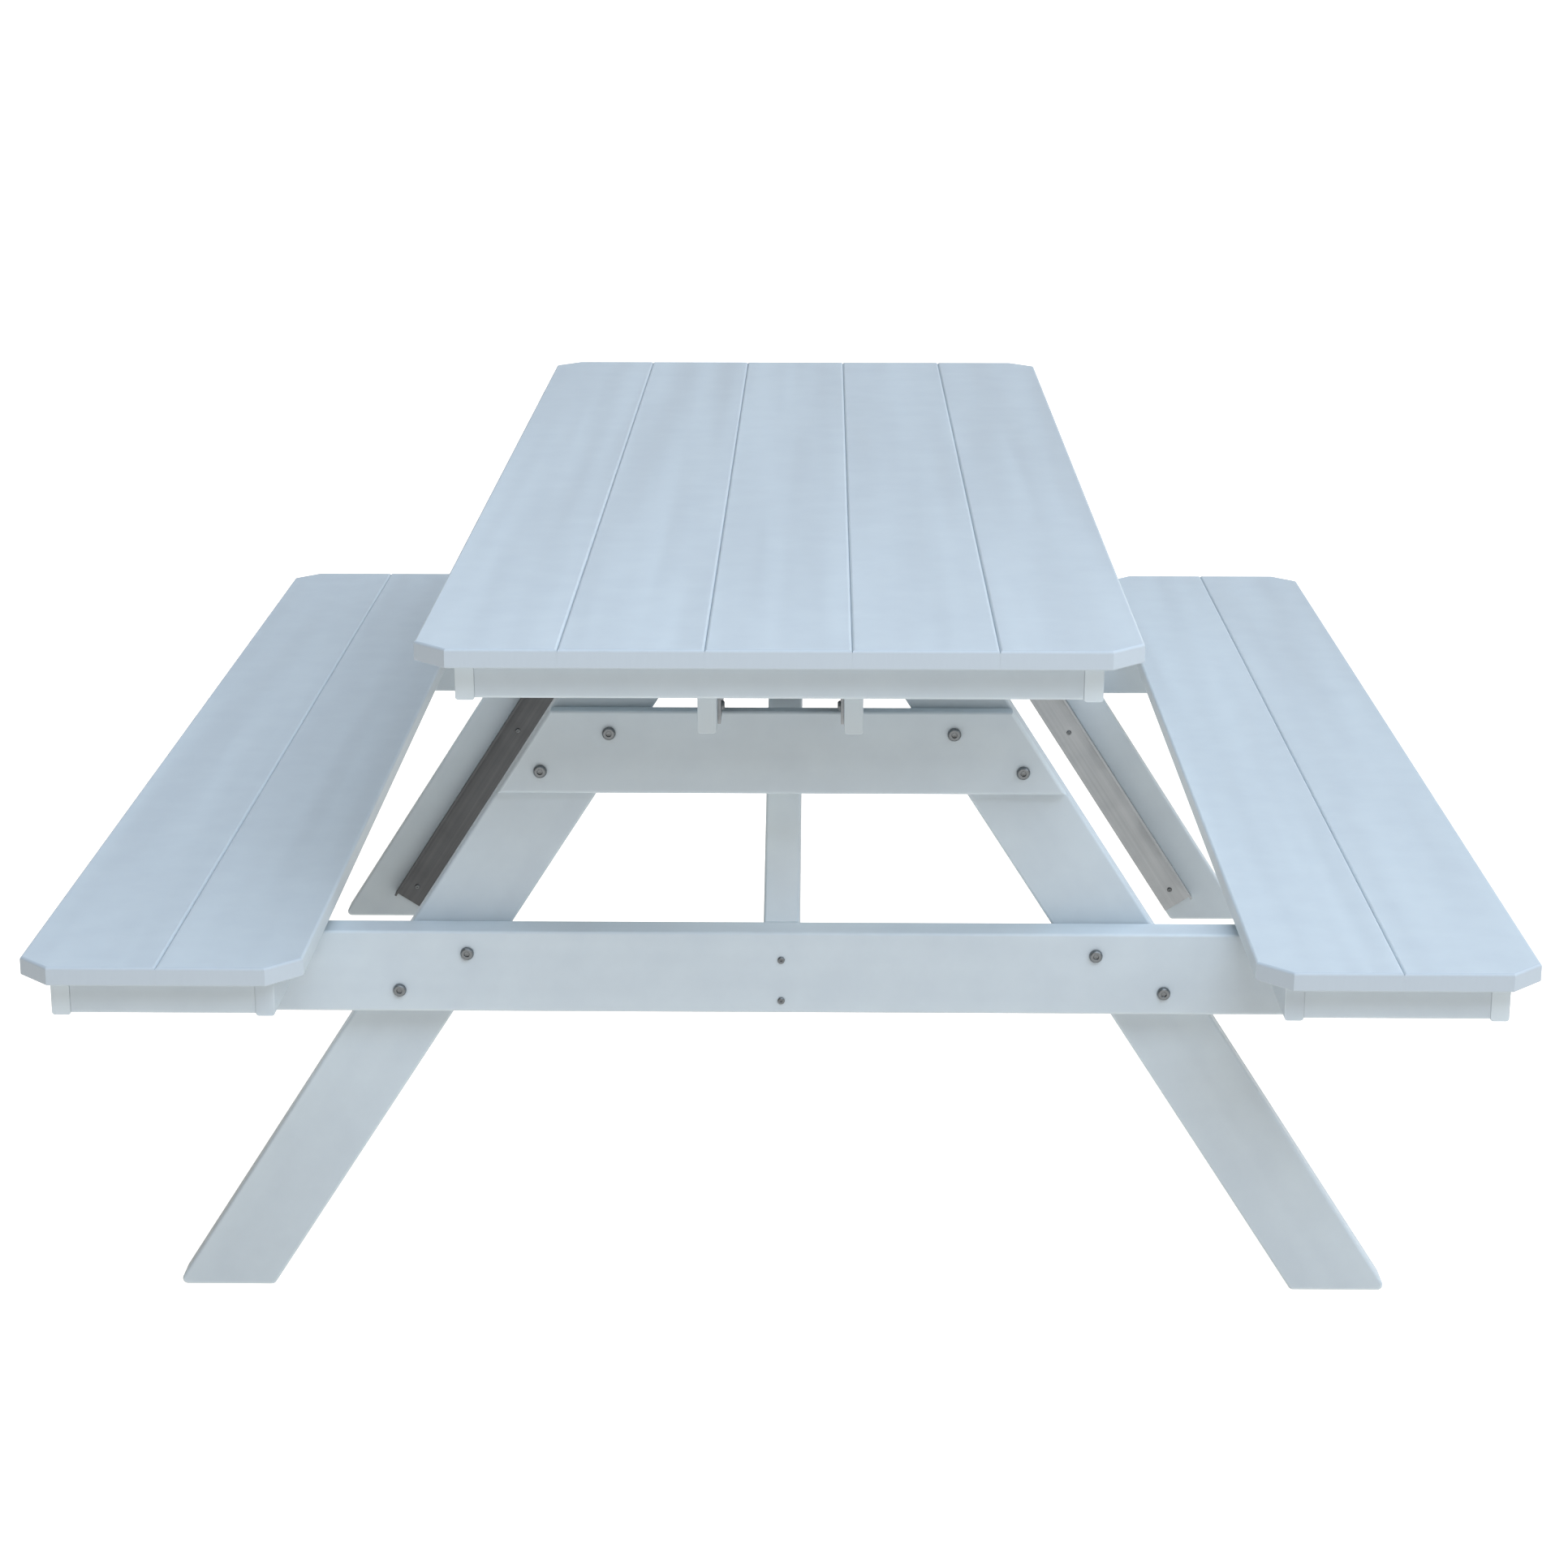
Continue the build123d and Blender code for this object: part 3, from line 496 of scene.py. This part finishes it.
def stainless(name, roughness, dark, light):
    """Stainless fastener steel: grey with a slightly uneven, tumbled shine."""
    made = bpy.data.materials.new(name)
    made.use_nodes = True
    shader = made.node_tree.nodes["Principled BSDF"]
    place = add_node(made, "ShaderNodeTexCoord", {})
    # Tumbling marks about 1.5 mm across.
    marks = add_node(made, "ShaderNodeTexNoise", {
        "Vector": place.outputs["Object"], "Scale": 1 / 0.0015, "Detail": 3,
    })
    tint = add_node(made, "ShaderNodeMix", {
        "Factor": marks.outputs["Fac"], 6: linear(dark), 7: linear(light),
    }, data_type="RGBA")
    gloss = add_node(made, "ShaderNodeMapRange", {
        "Value": marks.outputs["Fac"], "To Min": roughness - 0.08, "To Max": roughness + 0.08,
    })
    link = made.node_tree.links.new
    link(tint.outputs[2], shader.inputs["Base Color"])
    link(gloss.outputs["Result"], shader.inputs["Roughness"])
    shader.inputs["Metallic"].default_value = 1
    return made


def turned_parts(node, profile, sides, places, material, steps=48):
    """Copies of one turned part, its profile carried round its axis.

    profile is rows of radius, height and share: at share 0 the row is a circle, at
    share 1 a polygon whose flats lie at that radius, so each radius is divided by the
    cosine of the angle from the nearest flat. Each place is a point and the way the
    head faces; each copy is turned about its axis by its own angle.
    """
    radius, height, share = (column[:, None] for column in np.array(profile, float).T)
    angle = np.arange(steps) * 2 * np.pi / steps
    flat = np.cos((angle + np.pi / sides) % (2 * np.pi / sides) - np.pi / sides)
    reach = radius * (1 - share + share / flat)
    point, facing = (np.array(column, float) for column in zip(*places))
    side = np.where(abs(facing[:, :1]) > 0.5, Y, X)
    other = np.cross(facing, side)
    turned = angle + twist.uniform(0, 2 * np.pi, len(point))[:, None]
    round_axis = (np.cos(turned)[..., None] * side[:, None]
                  + np.sin(turned)[..., None] * other[:, None])
    place = (point[:, None, None] + reach[None, ..., None] * round_axis[:, None]
             + (height * np.ones(steps))[None, ..., None] * facing[:, None, None])
    copies, rows = place.shape[:2]
    spot = np.arange(copies * rows * steps).reshape(copies, rows, steps)
    ahead = np.roll(spot, -1, axis=2)
    walls = np.stack([spot[:, :-1], ahead[:, :-1], ahead[:, 1:], spot[:, 1:]], axis=-1)
    mesh = bpy.data.meshes.new(node + "_turned")
    mesh.from_pydata(place.reshape(-1, 3).tolist(), [],
                     walls.reshape(-1, 4).tolist() + spot[:, 0, ::-1].tolist()
                     + spot[:, -1].tolist())
    mesh.polygons.foreach_set("use_smooth", np.ones(len(mesh.polygons), bool))
    mesh.set_sharp_from_angle(angle=math.radians(32))
    mesh.materials.append(material)
    piece = bpy.data.objects.new(node + "_turned", mesh)
    bpy.context.collection.objects.link(piece)
    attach(piece, "root")
    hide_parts(node)


def button_head(shank, head, rise, length, socket):
    """Profile of a button-head bolt, from the shank's tip up over the dome into the socket.

    The numbers are shares of the shank's, head's or socket's radius and of the head's rise.
    The dome's radius follows the cosine, and its height the sine, of 12 to 68 degrees.
    """
    dome = np.radians(np.linspace(12, 68, 8))
    over = [(head * (0.62 + 0.38 * math.cos(a) / math.cos(dome[0])),
             rise * (0.30 + 0.70 * (math.sin(a) - math.sin(dome[0]))
                     / (math.sin(dome[-1]) - math.sin(dome[0]))), 0) for a in dome]
    return ([(shank * 0.75, -length, 0), (shank, -length + shank * 0.3, 0), (shank, 0, 0),
             (head * 0.985, 0, 0), (head, rise * 0.04, 0), (head, rise * 0.26, 0)] + over
            + [(head * 0.52, rise, 0), (socket * 1.22, rise, 0), (socket * 1.08, rise * 0.94, 0.5),
               (socket, rise * 0.86, 1), (socket, rise * 0.54, 1), (socket * 0.6, rise * 0.50, 0),
               (socket * 0.1, rise * 0.46, 0)])


# These greys are darker than bare stainless: painted dark reflection, standing in for the darker
# surroundings a real bolt head mirrors.
bolt_steel = stainless("tumbled_stainless_bolts", 0.34, "#64686A", "#8E9294")
bolt_across, bolt_rise = 0.036, 0.0205
bolt_radius, head_radius, head_rise, socket_half_flats = 0.004, 0.007, 0.0044, 0.0025
washer_thickness, nut_height, thread_past_nut = 0.0016, 0.008, 0.002
for level in ("lower", "upper"):
    low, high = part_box(f"{level}_beam_front")
    middle = (low[2] + high[2]) / 2
    centre = leg_x(middle, 0.5)
    spots = [(centre - bolt_across, middle + bolt_rise), (centre + bolt_across, middle - bolt_rise)]
    places = [((way * x, end_way * abs(low[1]), z), (0, end_way, 0))
              for end_way in (-1, 1) for way in (-1, 1) for x, z in spots]
    length = ((high[1] - low[1]) + leg_thickness + angle_thickness + washer_thickness
              + nut_height + thread_past_nut)
    profile = button_head(bolt_radius, head_radius, head_rise, length, socket_half_flats)
    turned_parts(f"{level}_beam_bolts", profile, 6, places, bolt_steel)

for node in ("beam_bolt_washers", "beam_bolt_nuts"):
    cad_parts[node].data.materials.clear()
    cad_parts[node].data.materials.append(bolt_steel)

# ---- Screws ------------------------------------------------------------------------------------
# Stainless pan-head screws with a square drive hold the metal angles, the braces and the
# slats; flat-head ones go down through the cleats and lie flush in them.
# Darker than bare stainless as well: painted dark reflection.
screw_steel = stainless("stainless_screws", 0.4, "#5E6264", "#8A8E90")
# Shank and head radius, head height, length and half the drive's width of each kind.
stringer_screw = (0.0026, 0.00525, 0.0033, 0.0182, 0.0014)
brace_screw = (0.0024, 0.0038, 0.0022, 0.08, 0.0011)
leg_angle_screw = (0.0021, 0.0035, 0.002, 0.025, 0.001)


def pan_head(shank, head, rise, length, drive):
    """Profile of a pan-head screw, from its pointed tip over the head into the drive.

    The numbers are shares of the shank's, head's or drive's radius and of the head's rise.
    The dome's radius follows the cosine, and its height the sine, of 0 to 75 degrees.
    """
    dome = np.radians(np.linspace(0, 75, 6))
    over = [(head * (0.5 + 0.5 * math.cos(a)),
             rise * (0.3 + 0.7 * math.sin(a) / math.sin(dome[-1])), 0) for a in dome]
    return ([(shank * 0.08, -length, 0), (shank, -length + 2 * shank, 0), (shank, 0, 0),
             (head * 0.97, 0, 0), (head, rise * 0.06, 0)] + over
            + [(drive * 1.35, rise, 0), (drive, rise * 0.9, 1), (drive * 0.95, rise * 0.4, 1)])


# Five in a row along each stringer's angle, in from its ends and up from its lower edge.
end_margin, edge_margin = 0.061, 0.014
low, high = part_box("stringer_angle_right")
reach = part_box("stringer_right")[1][1] - end_margin
places = [((way * (high[0] - angle_thickness), y, low[2] + edge_margin), (-way, 0, 0))
          for way in (-1, 1) for y in np.linspace(-reach, reach, 5)]
turned_parts("stringer_screws", pan_head(*stringer_screw), 4, places, screw_steel, 32)

# Two one above the other through each lower beam, about a point just under its middle.
drop, half_spread = 0.008, 0.0225
middle = (beam_low[2] + beam_high[2]) / 2 - drop
places = [((0, way * abs(beam_low[1]), middle + rise), (0, way, 0))
          for way in (-1, 1) for rise in (-half_spread, half_spread)]
turned_parts("brace_screws", pan_head(*brace_screw), 4, places, screw_steel, 24)

# Three up the middle of each leg angle, at these distances along the leg from the floor.
screw_distances = (0.041, 0.323, 0.605)
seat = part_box("leg_angle_rear_right")[1][1] - angle_thickness
spots = []
for along in screw_distances:
    spots.append((leg_x(0, 1) - along * math.sin(leg_lean) + angle_flange / 2 * math.cos(leg_lean),
                  along * math.cos(leg_lean) + angle_flange / 2 * math.sin(leg_lean)))
places = [((way * x, end_way * seat, z), (0, -end_way, 0))
          for end_way in (-1, 1) for way in (-1, 1) for x, z in spots]
turned_parts("leg_angle_screws", pan_head(*leg_angle_screw), 4, places, screw_steel, 24)
for node in ("slat_screws", "cleat_screws"):
    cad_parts[node].data.materials.clear()
    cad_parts[node].data.materials.append(screw_steel)

# ---- Studio --------------------------------------------------------------------------------------
# A pale, faintly lit floor that runs on past the view, soft warm light from all round,
# a broad bluish lamp above on the right, and smaller ones in front and under the top.
floor_mesh = bpy.data.meshes.new("studio_floor")
floor_mesh.from_pydata([(-40, -40, 0), (40, -40, 0), (40, 60, 0), (-40, 60, 0)], [], [(0, 1, 2, 3)])
paper = bpy.data.materials.new("pale_lit_floor")
paper.use_nodes = True
paper_shader = paper.node_tree.nodes["Principled BSDF"]
paper_shader.inputs["Base Color"].default_value = linear("#B0A9A2")
paper_shader.inputs["Roughness"].default_value = 0.9
paper_shader.inputs["Specular IOR Level"].default_value = 0.1
paper_shader.inputs["Emission Color"].default_value = linear("#FFFDFA")
# Looked at directly it is brighter, so that the shade under the table stays white.
seen = add_node(paper, "ShaderNodeLightPath", {})
paper_light, paper_seen = 0.68, 0.4
paper_glow = add_node(paper, "ShaderNodeMath", {
    0: seen.outputs["Is Camera Ray"], 1: paper_seen, 2: paper_light,
}, operation="MULTIPLY_ADD")
paper.node_tree.links.new(paper_glow.outputs["Value"], paper_shader.inputs["Emission Strength"])
floor_mesh.materials.append(paper)
floor = bpy.data.objects.new("studio_floor", floor_mesh)
bpy.context.collection.objects.link(floor)

sky = bpy.data.worlds.new("studio_sky")
sky.use_nodes = True
around = add_node(sky, "ShaderNodeTexCoord", {})
level = add_node(sky, "ShaderNodeVectorMath", {
    0: around.outputs["Generated"], 1: (-0.4, 0, 1),
}, operation="DOT_PRODUCT")
# Brightest low on the right, so that light reaches in under the top.
glow = add_node(sky, "ShaderNodeMapRange", {
    "Value": level.outputs["Value"], "From Max": 0.6, "To Min": 0.50, "To Max": 0.12,
})
# Seen past the floor's edge it is plain white.
path = add_node(sky, "ShaderNodeLightPath", {})
sky_seen = 1.4
whitened = add_node(sky, "ShaderNodeMath", {
    0: path.outputs["Is Camera Ray"], 1: sky_seen, 2: glow.outputs["Result"],
}, operation="MULTIPLY_ADD")
backdrop = sky.node_tree.nodes["Background"]
backdrop.inputs["Color"].default_value = linear("#FFF2E2")
sky.node_tree.links.new(whitened.outputs["Value"], backdrop.inputs["Strength"])
bpy.context.scene.world = sky


def standing(right, up, back, spot):
    """Placing matrix of something at spot whose own X, Y and Z are right, up and back."""
    columns = np.array([(*right, 0), (*up, 0), (*back, 0), (*spot, 1)], float)
    return Matrix(columns.T.tolist())


def studio_lamp(name, kind, spot, aim, power, tint):
    """Soft lamp at spot, facing aim."""
    lamp = bpy.data.lights.new(name, kind)
    lamp.energy = power
    lamp.color = linear(tint)[:3]
    stand = bpy.data.objects.new(name, lamp)
    bpy.context.collection.objects.link(stand)
    back = np.subtract(spot, aim) / np.linalg.norm(np.subtract(spot, aim))
    right = np.cross(Z, back) / np.linalg.norm(np.cross(Z, back))
    stand.matrix_world = standing(right, np.cross(back, right), back, spot)
    return lamp


overhead = studio_lamp("overhead_lamp", "SUN", (1.8, -0.2, 4), (0, 0, 0), 3.3, "#E4F0FF")
overhead.angle = math.radians(95)
in_front = studio_lamp("front_lamp", "AREA", (0.6, -2.9, 2.55), (0, -0.6, 0.5), 30, "#E9F2FF")
in_front.size = 1.2
# The small one hangs behind the upper beam, over the front brace.
fill = studio_lamp("fill_lamp", "AREA", (0, -0.57, 0.65), (0, -0.55, 0.40), 0.15, "#FFF9F2")
fill.size = 0.14

# The camera stands 1.5 m up in front of the table's end and looks 16 degrees down.
yaw, pitch, roll = 0.012103, -0.27731, -0.00058
turn_z = np.array([[math.cos(yaw), -math.sin(yaw), 0], [math.sin(yaw), math.cos(yaw), 0], [0, 0, 1]])
turn_x = np.array([[1, 0, 0], [0, math.cos(pitch), -math.sin(pitch)],
                   [0, math.sin(pitch), math.cos(pitch)]])
turn_y = np.array([[math.cos(roll), 0, math.sin(roll)], [0, 1, 0],
                   [-math.sin(roll), 0, math.cos(roll)]])
right, forward, up = (turn_z @ turn_x @ turn_y).T
camera = bpy.data.objects.new("camera", bpy.data.cameras.new("camera"))
camera.data.lens = 75.40
camera.data.sensor_width = 36
bpy.context.collection.objects.link(camera)
camera.matrix_world = standing(right, up, -forward, (0.042308, -3.9596, 1.5094))
bpy.context.scene.camera = camera
bpy.context.scene.view_settings.view_transform = "Standard"
